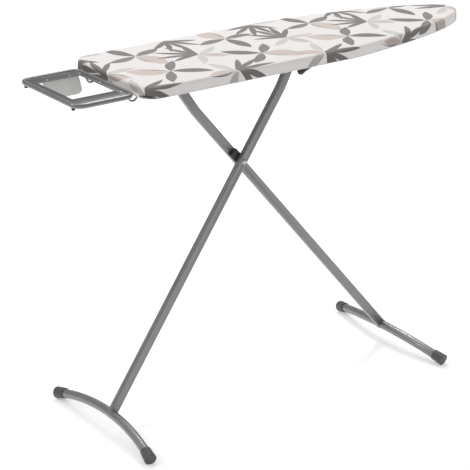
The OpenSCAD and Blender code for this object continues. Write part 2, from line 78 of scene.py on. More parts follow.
# ---- Settings ----


class BoardSettings(bpy.types.PropertyGroup):
    """Sizes and colours of what is added round the frame"""

    nose_length: FloatProperty(
        name="Nose length",
        description="Length of the tapering nose",
        default=490 * MM,
        unit="LENGTH",
    )
    nose_fullness: FloatProperty(
        name="Nose fullness",
        description="Higher is blunter",
        default=1.23,
        min=1,
        max=2,
    )
    corner_radius: FloatProperty(
        name="Corner radius",
        description="Radius at the wide end",
        default=40 * MM,
        unit="LENGTH",
    )
    edge_radius: FloatProperty(
        name="Edge radius",
        description="Roll of the cover over the pad's edge",
        default=7 * MM,
        unit="LENGTH",
    )
    crown: FloatProperty(
        name="Crown",
        description="How much lower the padded top is at its edge",
        default=1.2 * MM,
        unit="LENGTH",
    )
    cloth: FloatProperty(
        name="Cloth",
        description="Thickness of the cover's cotton",
        default=0.9 * MM,
        unit="LENGTH",
    )
    pleat_depth: FloatProperty(
        name="Pleat depth",
        description="Depth of the gathers at the corners",
        default=2.0 * MM,
        unit="LENGTH",
    )
    strand_length: FloatProperty(
        name="Mesh opening",
        description="Long way of a diamond in the expanded mesh",
        default=20 * MM,
        unit="LENGTH",
    )
    spring_turns: IntProperty(
        name="Spring turns",
        description="Turns of the lever's spring",
        default=6,
        min=2,
    )
    cloth_white: FloatVectorProperty(
        name="Ground",
        description="Ground of the printed cotton",
        subtype="COLOR",
        default=(0.8772, 0.8466, 0.8313),
    )
    print_taupe: FloatVectorProperty(
        name="Taupe leaves",
        description="Main leaves of the print",
        subtype="COLOR",
        default=(0.2225, 0.1983, 0.1942),
    )
    print_blush: FloatVectorProperty(
        name="Blush leaves",
        description="Pale pink leaves of the print",
        subtype="COLOR",
        default=(0.67, 0.575, 0.53),
    )
    print_sage: FloatVectorProperty(
        name="Sage leaves",
        description="Grey-green leaves of the print",
        subtype="COLOR",
        default=(0.245, 0.236, 0.225),
    )
    print_pale: FloatVectorProperty(
        name="Pale leaves",
        description="Faint leaves of the print",
        subtype="COLOR",
        default=(0.66, 0.645, 0.61),
    )
    leg_grey: FloatVectorProperty(
        name="Leg coat",
        description="Metallic powder coat of the legs",
        subtype="COLOR",
        default=(0.2376, 0.2376, 0.2394),
    )
    tray_grey: FloatVectorProperty(
        name="Tray coat",
        description="Powder coat of the rest's tray",
        subtype="COLOR",
        default=(0.0612, 0.0612, 0.0626),
    )
    plate_grey: FloatVectorProperty(
        name="Plate coat",
        description="Coat of the hanging plate",
        subtype="COLOR",
        default=(0.5805, 0.5805, 0.5535),
    )


def settings():
    return bpy.context.scene.ironing_board


# ---- Shader maths ----


class Wire:
    """A node's output, so that shader maths reads as Python expressions."""

    def __init__(self, graph, socket):
        self.graph = graph
        self.socket = socket

    def __add__(self, other):
        return self.graph.maths("ADD", self, other)

    __radd__ = __add__

    def __sub__(self, other):
        return self.graph.maths("SUBTRACT", self, other)

    def __rsub__(self, other):
        return self.graph.maths("SUBTRACT", other, self)

    def __mul__(self, other):
        return self.graph.maths("MULTIPLY", self, other)

    __rmul__ = __mul__

    def __truediv__(self, other):
        return self.graph.maths("DIVIDE", self, other)

    def __abs__(self):
        return self.graph.maths("ABSOLUTE", self)

    def clamped(self):
        return self.graph.maths("ADD", self, 0.0, clamp=True)

    def above(self, other):
        return self.graph.maths("MAXIMUM", self, other)


class Graph:
    """The node tree of a material that ends in one Principled shader."""

    def __init__(self, name):
        self.material = bpy.data.materials.new(name)
        self.material.use_nodes = True
        self.tree = self.material.node_tree
        self.shader = next(n for n in self.tree.nodes if n.type == "BSDF_PRINCIPLED")

    def node(self, kind, options=(), *values, out=0, **named):
        made = self.tree.nodes.new(kind)
        for key, value in dict(options).items():
            if key == "stops":
                self.set_stops(made.color_ramp, value)
            else:
                setattr(made, key, value)
        for key, value in [*enumerate(values), *named.items()]:
            self.feed(made.inputs[key if isinstance(key, int) else key.replace("_", " ")], value)
        return Wire(self, made.outputs[out])

    def maths(self, operation, *values, clamp=False):
        return self.node("ShaderNodeMath", {"operation": operation, "use_clamp": clamp}, *values)

    def set_stops(self, ramp, stops):
        while len(ramp.elements) < len(stops):
            ramp.elements.new(1)
        for element, (position, level) in zip(ramp.elements, stops):
            element.position = position
            element.color = (level, level, level, 1)

    def feed(self, socket, value):
        if isinstance(value, Wire):
            self.tree.links.new(value.socket, socket)
        elif value is not None:
            socket.default_value = value

    def set(self, **named):
        """Sets the Principled shader's sockets."""
        for key, value in named.items():
            self.feed(self.shader.inputs[key.replace("_", " ")], value)

    def place(self):
        """Object coordinates, in metres."""
        return self.node("ShaderNodeTexCoord", out=3)

    def mix(self, first, second, share):
        """The first colour, with the second over it where share is 1."""
        made = self.tree.nodes.new("ShaderNodeMix")
        made.data_type = "RGBA"
        self.feed(made.inputs[0], share)
        self.feed(made.inputs[6], first)
        self.feed(made.inputs[7], second)
        return Wire(self, made.outputs[2])

    def grain(self, scale, detail=2.0, roughness=0.5, where=None, distortion=0.0):
        return self.node(
            "ShaderNodeTexNoise", (), where or self.place(), Scale=scale, Detail=detail, Roughness=roughness,
            Distortion=distortion,
        )

    def level(self, wire, *stops):
        """Remaps a value through a ramp of (position, level) stops."""
        return self.node("ShaderNodeValToRGB", {"stops": stops}, wire)

    def bump(self, height, distance, strength=1.0, under=None):
        return self.node(
            "ShaderNodeBump", (),
            Strength=strength, Distance=distance, Height=height, Normal=under,
        )


def shade(rgb, factor):
    return (*[min(1.0, c * factor) for c in rgb], 1)


# ---- Finishes ----


def powder_coat(name, rgb, metallic, roughness, flake=0.12):
    """A sprayed coat with metal flake: orange peel, mottled gloss and a trace of dust."""
    g = Graph(name)
    cloud = g.grain(9, 3)
    fleck = g.grain(2600, 1)
    peel = g.grain(520, 2)
    worn = g.level(g.grain(38, 5, 0.7), (0.5, 0.0), (0.75, 1.0))
    tone = g.mix(shade(rgb, 1 - flake), shade(rgb, 1 + flake), g.level(fleck, (0.35, 0.0), (0.65, 1.0)))
    tone = g.mix(tone, shade(rgb, 1.25), g.level(cloud, (0.4, 0.0), (0.8, 0.35)))
    tone = g.mix(tone, shade(rgb, 0.8), worn * 0.25)
    g.set(
        Base_Color=tone,
        Metallic=metallic - fleck * 0.2,
        Roughness=g.level(cloud, (0.3, roughness - 0.05), (0.7, roughness + 0.07)),
        Coat_Weight=0.45,
        Coat_Roughness=0.1,
        Normal=g.bump(peel, 0.03 * MM, 0.5),
    )
    return g.material


def plated_steel(name):
    """Zinc plate: bright, faintly blotched, with fine drawn scratches along Y."""
    g = Graph(name)
    drawn = g.node("ShaderNodeMapping", (), g.place(), Scale=(900, 40, 900))
    scratch = g.grain(1.0, 2, where=drawn)
    blotch = g.level(g.grain(60, 4, 0.6), (0.4, 0.0), (0.7, 1.0))
    tone = g.mix((0.52, 0.52, 0.53, 1), (0.66, 0.65, 0.62, 1), blotch)
    g.set(
        Base_Color=tone,
        Metallic=1.0 - 0.15 * blotch,
        Roughness=g.level(scratch, (0.3, 0.26), (0.7, 0.42)),
        Normal=g.bump(scratch, 0.02 * MM, 0.4),
    )
    return g.material


def moulded(name, rgb, roughness, spark=900):
    """Moulded plastic or rubber: spark-eroded skin, scuffs on the worn places."""
    g = Graph(name)
    skin = g.grain(spark, 3, 0.6)
    scuff = g.level(g.grain(55, 6, 0.75), (0.52, 0.0), (0.8, 1.0))
    tone = g.mix(shade(rgb, 0.85), shade(rgb, 1.2), skin)
    tone = g.mix(tone, shade(rgb, 2.2), scuff * 0.35)
    g.set(
        Base_Color=tone,
        Roughness=g.level(scuff, (0.0, roughness), (1.0, roughness + 0.18)),
        Normal=g.bump(skin, 0.05 * MM, 0.6),
    )
    return g.material


def needled_felt(name):
    """Needled felt: tangled fibres with flecks of other wool."""
    g = Graph(name)
    fibre = g.grain(420, 6, 0.75, distortion=2.5)
    fleck = g.level(g.grain(160, 3, 0.6, distortion=1.5), (0.6, 0.0), (0.72, 1.0))
    tone = g.mix((0.60, 0.60, 0.58, 1), (0.82, 0.82, 0.79, 1), fibre)
    tone = g.mix(tone, (0.34, 0.36, 0.40, 1), fleck * 0.6)
    g.set(
        Base_Color=tone,
        Roughness=0.97,
        Sheen_Weight=0.25,
        Normal=g.bump(fibre, 0.5 * MM, 0.9),
    )
    return g.material


def braided(name, rgb, pitch):
    """Braided cord: crossing strands that climb round it, with painted shade in the grooves and a painted
    highlight on the strands' crowns.
    """
    g = Graph(name)
    x, y, z = (g.node("ShaderNodeSeparateXYZ", (), g.place(), out=i) for i in range(3))
    rise = (x + y) * (math.tau / pitch)
    turn = z * (math.tau / pitch)
    left = g.maths("SINE", rise + turn)
    right = g.maths("SINE", rise - turn)
    strand = left.above(right) * 0.5 + 0.5
    g.set(
        # Painted shade and highlight: the colour follows the strands' relief, darker in the grooves between them
        # and lighter on their crowns.
        Base_Color=g.mix(shade(rgb, 0.5), shade(rgb, 1.5), strand.clamped()),
        Roughness=0.9,
        Normal=g.bump(strand, 0.3 * MM, 0.8),
    )
    return g.material


def plain_cotton(name):
    """White bias binding with a fine woven grain."""
    g = Graph(name)
    weave = g.grain(1500, 2)
    g.set(
        Base_Color=g.mix((0.80, 0.79, 0.78, 1), (0.92, 0.91, 0.90, 1), weave),
        Roughness=0.92,
        Normal=g.bump(weave, 0.15 * MM, 0.7),
    )
    return g.material


# ---- The print ----
# A generic leaf print in a half-drop repeat. Places are in millimetres on the flat cloth. A leaf is
# (start x, y, tip x, y, half width, bend to the left), and each layer is printed over the one before it.

COLUMN_PITCH = 135
ROW_PITCH = 160
COLUMNS = 4
REPEAT = COLUMNS * COLUMN_PITCH * MM
TURN = math.radians(137.5)
LEAF_SOFTNESS = 0.5 * MM
SWAY = 9 * MM
THREAD = 0.9 * MM
EVEN = 0
ODD = 1


def places(odd):
    """(x, y, heading) of each motif in the odd or the even columns. Each is turned from the last."""
    found = []
    for column in range(odd, COLUMNS, 2):
        x = (column - (COLUMNS - 1) / 2) * COLUMN_PITCH
        for row in (-0.5, 0.5) if odd else (-1, 0, 1):
            found.append((x, row * ROW_PITCH, TURN * (len(found) + column)))
    return found


def blade(x, y, heading, length, half, bend):
    """The leaf that starts at a place and runs along a heading."""
    return (x, y, x + length * math.cos(heading), y + length * math.sin(heading), half, bend)


def singles(odd, turned, length, half, bend):
    """One leaf or stem from each place, turned from its heading."""
    return [blade(x, y, h + turned, length, half, bend) for x, y, h in places(odd)]


def pairs(odd, spread, length, half, bend):
    """Two leaves from each place, spread to either side of its heading."""
    rows = []
    for x, y, h in places(odd):
        for side in (-1, 1):
            rows.append(blade(x, y, h + side * spread, length, half, side * bend))
    return rows


def fans(odd, spread, length, loss, half, bend):
    """Five narrow blades from each place. The outermost lose some of their length."""
    rows = []
    for x, y, h in places(odd):
        for side in (-1, -0.5, 0, 0.5, 1):
            rows.append(blade(x, y, h + spread * side, length - loss * side * side, half, bend * side))
    return rows


def layers(s):
    """The leaves of each printed layer and its ink, from the lowest up."""
    behind = math.pi
    blush = singles(ODD, behind, length=108, half=27, bend=0.3)
    blush += singles(EVEN, behind, length=76, half=13, bend=0.0)
    taupe = singles(ODD, 0, length=105, half=17, bend=0.3)
    taupe += fans(EVEN, spread=0.95, length=118, loss=30, half=8.5, bend=-0.6)
    stems = singles(EVEN, behind, length=92, half=1.8, bend=7.0)
    stems += singles(ODD, behind, length=70, half=1.8, bend=-6.0)
    return (
        (pairs(EVEN, spread=1.9, length=84, half=12, bend=0.4), s.print_pale),
        (blush, s.print_blush),
        (pairs(ODD, spread=1.5, length=88, half=14, bend=0.3), s.print_sage),
        (taupe, s.print_taupe),
        (stems, shade(s.print_taupe, 0.8)[:3]),
    )


def leaf(g, along, across, row, centre):
    """A mask that is 1 inside one leaf."""
    x0, y0, x1, y1, half, bend = row
    length = math.hypot(x1 - x0, y1 - y0) * MM
    flat = g.node("ShaderNodeCombineXYZ", (), along, across)
    own = g.node(
        "ShaderNodeMapping", {"vector_type": "TEXTURE"}, flat,
        Location=((x0 - centre) * MM, y0 * MM, 0),
        Rotation=(0, 0, math.atan2(y1 - y0, x1 - x0)),
        Scale=(length, half * MM, 1),
    )
    p = g.node("ShaderNodeSeparateXYZ", (), own)
    q = Wire(g, p.socket.node.outputs[1])
    width = (p - p * p) * 4
    off = q - width * bend if bend else q
    return ((width - abs(off)) * (half * MM / LEAF_SOFTNESS)).clamped()


WAIT = 1e-9


def printed(g, ground, flat_x, flat_y, rows, ink, texture, mask):
    """Prints one layer of leaves over the ground. A leaf waits for the mask before it, which keeps the
    number of values in use low enough for the renderer."""
    layer = None
    for row in rows:
        centre = (row[0] + row[2]) / 2
        waiting = g.maths("MULTIPLY_ADD", mask, WAIT, flat_x) - centre * MM
        along = g.maths("WRAP", waiting, REPEAT / 2, -REPEAT / 2)
        mask = leaf(g, along, flat_y, row, centre)
        layer = mask if layer is None else layer.above(mask)
        mask = layer
    return g.mix(ground, ink, layer * texture), layer


def printed_cotton(name):
    """Matt cotton with a leaf print, woven bump, slight unevenness of the ink and painted shade on the ink of the
    side wall.
    """
    s = settings()
    g = Graph(name)
    flat = g.node("ShaderNodeAttribute", {"attribute_name": "flat"}, out=1)
    x = g.node("ShaderNodeSeparateXYZ", (), flat)
    y = Wire(g, x.socket.node.outputs[1])
    depth = Wire(g, x.socket.node.outputs[2])
    sway = g.grain(16, 1, where=flat)
    wave_x = x + (sway - 0.5) * SWAY
    wave_y = y + (g.grain(13, 1, where=flat) - 0.5) * SWAY
    threads_x = g.maths("SINE", x * (math.tau / THREAD))
    threads_y = g.maths("SINE", y * (math.tau / THREAD))
    weave = threads_x * threads_y
    slub = g.grain(900, 3, 0.6, where=flat)
    ink = 0.93 + 0.07 * g.level(slub, (0.35, 0.0), (0.65, 1.0))
    tone = g.mix(shade(s.cloth_white, 0.975), shade(s.cloth_white, 1.02), g.grain(7, 2, where=flat))
    # Painted shade: the inks are darkened towards black, by up to 0.3, where the cloth runs down the side wall, to
    # stand in for the shade that the side wall lies in.
    side = (depth * 120 - 0.6).clamped() * 0.3
    mask = slub
    for rows, rgb in layers(s):
        pigment = g.mix(shade(rgb, 0.93), shade(rgb, 1.07), slub)
        # Painted shade on the side wall's ink, from the mask above.
        pigment = g.mix(pigment, (0, 0, 0, 1), side)
        tone, mask = printed(g, tone, wave_x, wave_y, rows, pigment, ink, mask)
    turned_hem = (depth * 400 - 14.5).clamped()
    tone = g.mix(tone, shade(s.cloth_white, 0.92), turned_hem)
    g.set(
        Base_Color=tone,
        Roughness=0.93,
        Sheen_Weight=0.12,
        Normal=g.bump(weave * 0.5 + slub, 0.10 * MM, 0.45),
    )
    return g.material


FINISHES = {
    "cover_fabric": lambda: printed_cotton("printed cotton"),
    "felt": lambda: needled_felt("needled felt"),
    "cord": lambda: braided("black cord", (0.035, 0.035, 0.038), 2.4 * MM),
    "leg_paint": lambda: powder_coat("leg coat", settings().leg_grey, 0.62, 0.36),
    "frame_paint": lambda: powder_coat("frame coat", shade(settings().leg_grey, 0.95)[:3], 0.55, 0.42),
    "rest_paint": lambda: powder_coat("rest coat", shade(settings().leg_grey, 0.92)[:3], 0.62, 0.34),
    "tray_paint": lambda: powder_coat("tray coat", settings().tray_grey, 0.35, 0.42),
    "plate_paint": lambda: powder_coat("plate coat", settings().plate_grey, 0.2, 0.5),
    "plated_steel": lambda: plated_steel("zinc plate"),
    "foot_plastic": lambda: moulded("foot plastic", (0.085, 0.085, 0.088), 0.5),
    "black_plastic": lambda: moulded("black plastic", (0.035, 0.035, 0.037), 0.42),
    "rubber": lambda: moulded("black rubber", (0.03, 0.03, 0.03), 0.75),
    "binding": lambda: plain_cotton("bias binding"),
}
MADE = {}


def finish_of(slot):
    """The material of a slot, made when it is first needed."""
    if slot not in MADE:
        MADE[slot] = FINISHES[slot]()
    return MADE[slot]


# ---- Modelling by operators ----


def pick(obj):
    """Makes obj the only selected object and the active one."""
    for other in bpy.context.selected_objects:
        other.select_set(False)
    obj.select_set(True)
    bpy.context.view_layer.objects.active = obj


def start():
    """Leaves nothing selected, so that a new primitive is alone."""
    for other in bpy.context.selected_objects:
        other.select_set(False)


def edit():
    bpy.ops.object.mode_set(mode="EDIT")
    return bmesh.from_edit_mesh(bpy.context.object.data)


def leave():
    bpy.ops.object.mode_set(mode="OBJECT")


def apply(obj, kind, **values):
    """Adds a modifier with these values and applies it."""
    pick(obj)
    modifier = obj.modifiers.new(kind.title(), kind)
    for key, value in values.items():
        setattr(modifier, key, value)
    bpy.ops.object.modifier_apply(modifier=modifier.name)


def finished(obj, name, body, slot, *nodes, finish=None, angle=40):
    """Names a piece, gives it its finish and lets it ride on its body in place of its CAD nodes."""
    pick(obj)
    bpy.ops.object.transform_apply(location=True, rotation=True, scale=True)
    bpy.ops.object.shade_smooth_by_angle(angle=math.radians(angle))
    obj.name = name
    obj.data.name = name
    obj.data.materials.clear()
    obj.data.materials.append(finish_of(finish or slot))
    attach(obj, body)
    if nodes:
        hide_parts(*nodes)
    return obj


def grown(rings, cap_ends=False):
    """A skin grown from a circle by extruding its edge once for each further ring of points."""
    start()
    bpy.ops.mesh.primitive_circle_add(vertices=len(rings[0]), radius=1)
    mesh = edit()
    column = mesh.verts.layers.int.new("column")
    mesh.verts.layers.int.new("ring")
    for i, vert in enumerate(mesh.verts):
        vert[column] = i
        vert.co = rings[0][i]
    if cap_ends:
        bpy.ops.mesh.edge_face_add()
        mesh = bmesh.from_edit_mesh(bpy.context.object.data)
    for k, ring in enumerate(rings[1:], 1):
        bpy.ops.mesh.extrude_edges_move()
        mesh = bmesh.from_edit_mesh(bpy.context.object.data)
        column = mesh.verts.layers.int["column"]
        row = mesh.verts.layers.int["ring"]
        for vert in mesh.verts:
            if vert.select:
                vert.co = ring[vert[column]]
                vert[row] = k
        bmesh.update_edit_mesh(bpy.context.object.data)
    if cap_ends:
        bpy.ops.mesh.edge_face_add()
    bpy.ops.mesh.select_all(action="SELECT")
    bpy.ops.mesh.remove_doubles(threshold=0.01 * MM)
    bpy.ops.mesh.normals_make_consistent(inside=False)
    leave()
    return bpy.context.object


def lathed(stations, place, sides=32):
    """A turned solid: (distance along, radius) stations about the local Z of place."""
    rings = []
    for along, radius in stations:
        angles = [math.tau * i / sides for i in range(sides)]
        rings.append([place @ Vector((radius * math.cos(a), radius * math.sin(a), along)) for a in angles])
    return grown(rings, cap_ends=True)


def swept(points, radius, sides=12, closed=False):
    """A round tube along points."""
    curve = bpy.data.curves.new("path", "CURVE")
    curve.dimensions = "3D"
    curve.bevel_depth = radius
    curve.bevel_resolution = max(1, sides // 4 - 1)
    curve.use_fill_caps = not closed
    spline = curve.splines.new("POLY")
    spline.points.add(len(points) - 1)
    for target, point in zip(spline.points, points):
        target.co = (*point, 1)
    spline.use_cyclic_u = closed
    obj = bpy.data.objects.new("path", curve)
    bpy.context.scene.collection.objects.link(obj)
    pick(obj)
    bpy.ops.object.convert(target="MESH")
    obj = bpy.context.object
    edit()
    bpy.ops.mesh.select_all(action="SELECT")
    bpy.ops.mesh.remove_doubles(threshold=0.01 * MM)
    bpy.ops.mesh.normals_make_consistent(inside=False)
    leave()
    return obj


def axis_frame(origin, direction):
    """A matrix at origin whose Z runs along direction."""
    return Matrix.Translation(origin) @ Vector(direction).to_track_quat("Z", "Y").to_matrix().to_4x4()


def merged_copy(node):
    """A copy of a CAD node's mesh with its triangles joined up and flat faces made whole."""
    source = NODES[node]
    obj = bpy.data.objects.new(node + "_skin", source.data.copy())
    bpy.context.scene.collection.objects.link(obj)
    pick(obj)
    bpy.ops.mesh.customdata_custom_splitnormals_clear()
    edit()
    bpy.ops.mesh.select_all(action="SELECT")
    bpy.ops.mesh.remove_doubles(threshold=0.01 * MM)
    bpy.ops.mesh.dissolve_limited(angle_limit=math.radians(0.6))
    leave()
    return obj


def eased(node, edge=0.35 * MM, segments=2, angle=38):
    """A CAD node with its sharp edges eased, so that they catch the light."""
    obj = merged_copy(node)
    apply(
        obj, "BEVEL", width=edge, segments=segments, limit_method="ANGLE", angle_limit=math.radians(angle),
        use_clamp_overlap=True, harden_normals=False,
    )
    return finished(obj, node + "_made", BODIES[node], SLOTS[node], node)


# ---- The board's outline ----

FINE = 1.7 * MM
COARSE = 5 * MM
GATHER_REACH = 62 * MM
NOSE_STEPS = 150


def spread(length, reach):
    """Distances from 0 to length, fine over the last stretch of reach."""
    far = max(1, round((length - reach) / COARSE))
    near = max(1, round(reach / FINE))
    return [(length - reach) * i / far for i in range(far)] + [
        length - reach + reach * i / near for i in range(near)
    ]


def ease(t):
    t = max(0.0, min(1.0, t))
    return t * t * (3 - 2 * t)


def half_outline():
    """(point, outward normal, gathering) from the nose's tip to the middle of the wide end, at +Y."""
    s = settings()
    half_w = COVER_HI.y
    nose_start = COVER_HI.x - s.nose_length
    corner_x = COVER_LO.x + s.corner_radius
    rows = []
    for i in range(NOSE_STEPS):
        u = math.radians(89) * i / NOSE_STEPS
        cos, sin = math.cos(u), math.sin(u)
        point = Vector((nose_start + s.nose_length * (cos * cos) ** (1 / s.nose_fullness), half_w * sin))
        slope = 2 * s.nose_length / s.nose_fullness * cos ** (2 / s.nose_fullness - 1) * sin
        normal = Vector((half_w * cos, slope)).normalized()
        rows.append((point, normal, 0.32 * (1 - ease(u / 1.1))))
    side = nose_start - corner_x
    for d in spread(side, GATHER_REACH):
        rows.append((Vector((nose_start - d, half_w)), Vector((0, 1)), ease(1 - (side - d) / GATHER_REACH)))
    steps = round(s.corner_radius * math.pi / 2 / (FINE * 0.75))
    for i in range(steps):
        a = math.pi / 2 * (1 + i / steps)
        normal = Vector((math.cos(a), math.sin(a)))
        centre = Vector((corner_x, half_w - s.corner_radius))
        rows.append((centre + normal * s.corner_radius, normal, 1.0))
    end = half_w - s.corner_radius
    for d in reversed(spread(end, GATHER_REACH)):
        rows.append((Vector((COVER_LO.x, d)), Vector((-1, 0)), ease(1 - (end - d) / GATHER_REACH)))
    return rows


def outline():
    """The whole outline, the same at -Y as at +Y, with a ripple for the gathers on each point."""
    upper = half_outline()
    lower = [(Vector((p.x, -p.y)), Vector((n.x, -n.y)), g) for p, n, g in reversed(upper[1:-1])]
    rows, phase, previous = [], 0.0, upper[0][0]
    for point, normal, gather in upper + lower:
        wave_length = 7 * MM * (1 + 0.45 * noise.noise(Vector((point.x * 38, point.y * 38, 4.0))))
        phase += math.tau * (point - previous).length / wave_length
        previous = point
        slow = noise.noise(Vector((point.x * 14, point.y * 14, 9.0)))
        rows.append((point, normal, gather * math.sin(phase), slow))
    return rows


def spine_of(point):
    """The point on the board's middle line from which a column of the top starts."""
    return Vector((max(COVER_LO.x + 0.15, min(COVER_HI.x - 0.10, point.x)), 0))


# ---- Padded top ----


def cover_profile():
    """(inset, height, arc length past the shoulder, share of the gathers) from the shoulder to the hem."""
    s = settings()
    radius = s.edge_radius
    centre = COVER_HI.z - s.crown - radius
    low = COVER_LO.z + 0.4 * MM
    turn = 1.6 * MM
    rows = []
    for i in range(1, 7):
        a = math.pi / 2 * i / 6
        rows.append((radius * (1 - math.sin(a)), centre + radius * math.cos(a), radius * a, 0.06 * i))
    drop = centre - (low + turn)
    for i in range(1, 6):
        rows.append((0.0, centre - drop * i / 5, radius * math.pi / 2 + drop * i / 5, 0.36 + 0.1 * i))
    past = radius * math.pi / 2 + drop
    for i in range(1, 4):
        a = math.pi / 2 * i / 3
        rows.append((turn * (1 - math.cos(a)), low + turn * (1 - math.sin(a)), past + turn * a, 0.9))
    past += turn * math.pi / 2
    for inset in (4, 7, 10, 13, 15):
        rows.append((inset * MM, low, past + inset * MM - turn, 1.0))
    return rows


TOP_RINGS = 15


def cover_rings():
    """Rings of points for the cover, and where each point lies on the flat cloth."""
    s = settings()
    columns = outline()
    rings, flats = [], []
    for k in range(TOP_RINGS + 1):
        share = k / TOP_RINGS
        ring, flat = [], []
        for point, normal, ripple, _ in columns:
            spine = spine_of(point)
            shoulder = point - normal * s.edge_radius
            at = spine.lerp(shoulder, share)
            soft = noise.noise(Vector((at.x * 7, at.y * 9, 2.0))) * 0.35 * MM * (1 - share)
            pull = 0.28 * MM * ripple * ease((share - 0.72) / 0.28)
            height = COVER_HI.z - 0.35 * MM - (s.crown - 0.35 * MM) * share**5 + soft + pull
            ring.append(Vector((at.x, at.y, height)))
            flat.append(Vector((at.x, at.y, 0)))
        rings.append(ring)
        flats.append(flat)
    for inset, height, run, share in cover_profile():
        ring, flat = [], []
        for point, normal, ripple, slow in columns:
            depth = s.pleat_depth * share * share * (ripple + 0.25 * slow)
            level = share >= 1.0
            out = -inset if level else -inset + depth
            at = point + normal * out
            drop = -abs(depth) if level else 0.5 * MM * slow * share * share
            ring.append(Vector((at.x, at.y, height + drop)))
            far = point + normal * (run - s.edge_radius)
            flat.append(Vector((far.x, far.y, run)))
        rings.append(ring)
        flats.append(flat)
    return rings, flats


CLOTH_FRAMES = 10
CLOTH_CAP = 0.9 * MM


def settle_cloth(obj):
    """Lets the top of the cover puff up a little over the pad, held by its edge."""
    rest = [v.co.copy() for v in obj.data.vertices]
    group = obj.vertex_groups.new(name="held")
    for i, row in enumerate(obj.data.attributes["ring"].data):
        group.add([i], 1.0 if row.value >= TOP_RINGS else 0.0, "REPLACE")
    pick(obj)
    cloth = obj.modifiers.new("Cloth", "CLOTH")
    cloth.settings.quality = 4
    cloth.settings.mass = 0.25
    cloth.settings.vertex_group_mass = "held"
    cloth.settings.use_pressure = True
    cloth.settings.uniform_pressure_force = 1.2
    cloth.settings.effector_weights.gravity = 0
    cloth.collision_settings.use_collision = False
    for step in range(1, CLOTH_FRAMES + 1):
        bpy.context.scene.frame_set(step)
    bpy.ops.object.modifier_apply(modifier=cloth.name)
    bpy.context.scene.frame_set(1)
    for vert, before in zip(obj.data.vertices, rest):
        move = vert.co - before
        if move.length > CLOTH_CAP:
            vert.co = before + move * (CLOTH_CAP / move.length)
    obj.vertex_groups.clear()


class IRONING_OT_cover(bpy.types.Operator):
    """Grow the printed cover over the pad, with gathered corners and a turned hem"""

    bl_idname = "ironing.cover"
    bl_label = "Cover"

    def execute(self, context):
        s = settings()
        rings, flats = cover_rings()
        obj = grown(rings)
        attribute = obj.data.attributes.new("flat", "FLOAT_VECTOR", "POINT")
        column = obj.data.attributes["column"].data
        row = obj.data.attributes["ring"].data
        for i in range(len(obj.data.vertices)):
            attribute.data[i].vector = flats[row[i].value][column[i].value]
        settle_cloth(obj)
        flip_if_inside_out(obj)
        apply(obj, "SOLIDIFY", thickness=s.cloth, offset=-1)
        finished(obj, "cover_cloth", "board", "cover_fabric", "cover", angle=60)
        binding = self.bind(rings)
        width = 2 * (COVER_HI.y + rings_run())
        length = COVER_HI.x - COVER_LO.x + 2 * rings_run()
        return {"FINISHED"}

    def bind(self, rings):
        """The white binding along the cover's lower edge."""
        lower = rings[TOP_RINGS + 6 + 5 + 1]
        path = [p + Vector((0, 0, -0.5 * MM)) for p in lower[::2]]
        obj = swept(path, 1.0 * MM, sides=8, closed=True)
        return finished(obj, "cover_binding", "board", "cover_fabric", finish="binding", angle=60)


def rings_run():
    """How far the cloth reaches beyond the outline when it lies flat."""
    return cover_profile()[-1][2] - settings().edge_radius


def flip_if_inside_out(obj):
    """Turns the sheet's faces so that its top faces up."""
    top = max(obj.data.polygons, key=lambda p: p.center.z)
    if top.normal.z < 0:
        pick(obj)
        edit()
        bpy.ops.mesh.select_all(action="SELECT")
        bpy.ops.mesh.flip_normals()
        leave()


FELT_ROLL = 4.5 * MM
FELT_SLACK = 0.8 * MM
FELT_LUMP = 0.25 * MM
FELT_SUNK = 0.5 * MM


class IRONING_OT_felt(bpy.types.Operator):
    """Make the felt pad, rounded at its edge and slightly uneven"""

    bl_idname = "ironing.felt"
    bl_label = "Felt pad"

    def execute(self, context):
        columns = outline()[::2]
        middle = (FELT_LO.z + FELT_HI.z) / 2
        half = (FELT_HI.z - FELT_LO.z) / 2
        inset = COVER_HI.x - FELT_HI.x + FELT_SLACK
        edge = inset + FELT_ROLL
        shares = (0.0, 0.25, 0.5, 0.8, 1.0)
        rings = [[self.at(c, share, edge, FELT_HI.z) for c in columns] for share in shares]
        for i in range(1, 7):
            a = math.pi * i / 6
            reach = edge - FELT_ROLL * math.sin(a)
            rings.append([self.at(c, 1.0, reach, middle + half * math.cos(a)) for c in columns])
        rings += [[self.at(c, share, edge, FELT_LO.z) for c in columns] for share in shares[-2::-1]]
        obj = grown(rings)
        finished(obj, "felt_wool", "board", "felt", "felt_pad", angle=60)
        return {"FINISHED"}

    def at(self, column, share, inset, height):
        point, normal = column[0], column[1]
        at = spine_of(point).lerp(point - normal * inset, share)
        lump = noise.noise(Vector((at.x * 20, at.y * 20, height * 90))) * FELT_LUMP
        sunk = FELT_SUNK if height > (FELT_LO.z + FELT_HI.z) / 2 else 0
        return Vector((at.x, at.y, height - abs(lump) - sunk))


STRAND = 1.5 * MM


